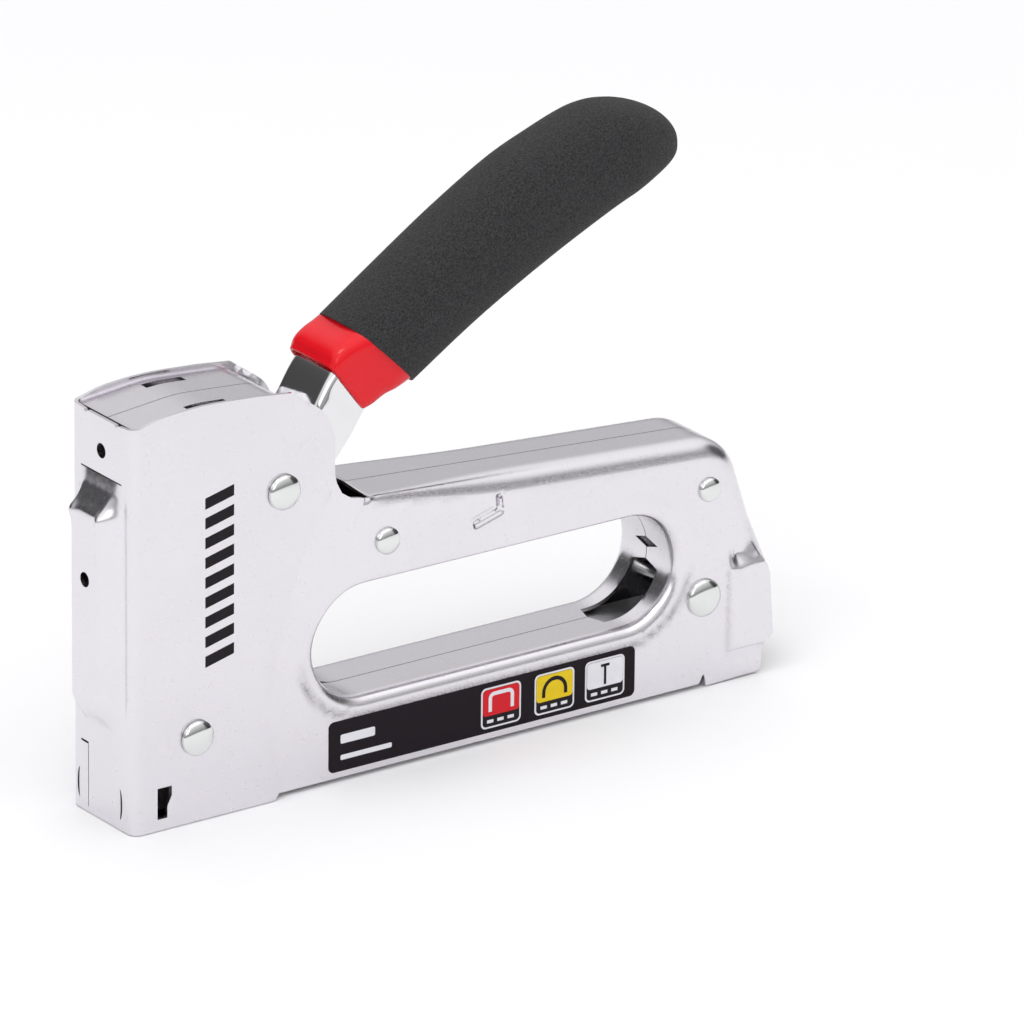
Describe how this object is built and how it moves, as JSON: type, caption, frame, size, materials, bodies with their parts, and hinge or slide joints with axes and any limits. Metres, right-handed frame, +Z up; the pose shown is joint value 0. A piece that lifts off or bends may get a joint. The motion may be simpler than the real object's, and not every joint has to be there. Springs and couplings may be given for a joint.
{
  "type": "staple gun",
  "caption": "Hand staple gun: two pressed steel body shells, folded nose cover, squeeze handle that lifts a sprung striker, and a rail magazine that slides out of the heel.",
  "frame": {"origin": "on the surface the tool stands on, below the middle of its overall box", "axes": "+X back from the nose to the heel, +Y to the tool's right side, +Z up"},
  "size_m": [0.1659, 0.0264, 0.131],
  "materials": {
    "plated_steel": "satin nickel plate",
    "bright_steel": "bright plated",
    "spring_steel": "oiled",
    "raw_steel": "satin",
    "red_vinyl": "gloss",
    "black_foam": "matte foam",
    "black_rubber": "matte",
    "printed_film": "satin print"
  },
  "bodies": {
    "frame": {"nose_cover": "plated_steel", "body_shell_left": "plated_steel", "body_shell_right": "plated_steel", "handle_pivot_rivet": "bright_steel", "nose_rivet": "bright_steel", "arm_front_rivet": "bright_steel", "arm_rear_rivet": "bright_steel", "heel_rivet": "bright_steel", "main_spring": "spring_steel", "spring_cap": "raw_steel", "striker_bumper": "black_rubber", "striker_guide_plate": "spring_steel", "magazine_channel": "raw_steel", "side_label": "printed_film"},
    "handle": {"handle_lever": "bright_steel", "handle_sleeve": "red_vinyl", "handle_grip": "black_foam", "handle_return_spring": "spring_steel"},
    "striker": {"striker_blade": "spring_steel", "striker_yoke": "raw_steel"},
    "rail": {"loading_rail": "plated_steel", "rail_end_cap": "plated_steel", "pusher_guide_rod": "spring_steel", "pusher_spring": "spring_steel", "latch_spring": "spring_steel"},
    "pusher": {"staple_pusher": "raw_steel"},
    "latch": {"rail_latch": "spring_steel"}
  },
  "joints": [
    {"name": "handle_hinge", "type": "hinge", "parent": "frame", "child": "handle", "pos_m": [-0.0421, 0, 0.0673], "axis": [0, 1, 0], "range_deg": [0, 28], "stiffness_Nm_per_rad": 4, "springref_deg": -5.73},
    {"name": "striker_lift", "type": "slide", "parent": "frame", "child": "striker", "axis": [0, 0, 1], "range_m": [0, 0.0158], "deforming": ["main_spring"]},
    {"name": "rail_slide", "type": "slide", "parent": "frame", "child": "rail", "axis": [1, 0, 0], "range_m": [0, 0.11]},
    {"name": "pusher_slide", "type": "slide", "parent": "rail", "child": "pusher", "axis": [1, 0, 0], "range_m": [0, 0.112], "stiffness_N_per_m": 60, "springref_m": -0.03, "deforming": ["pusher_spring"]},
    {"name": "latch_press", "type": "slide", "parent": "rail", "child": "latch", "axis": [0, 0, -1], "range_m": [0, 0.002], "stiffness_N_per_m": 800, "springref_m": -0.001, "deforming": ["latch_spring"]}
  ],
  "couplings": [
    {"joint": "striker_lift", "follows": "handle_hinge", "m_per_rad": 0.03194}
  ]
}
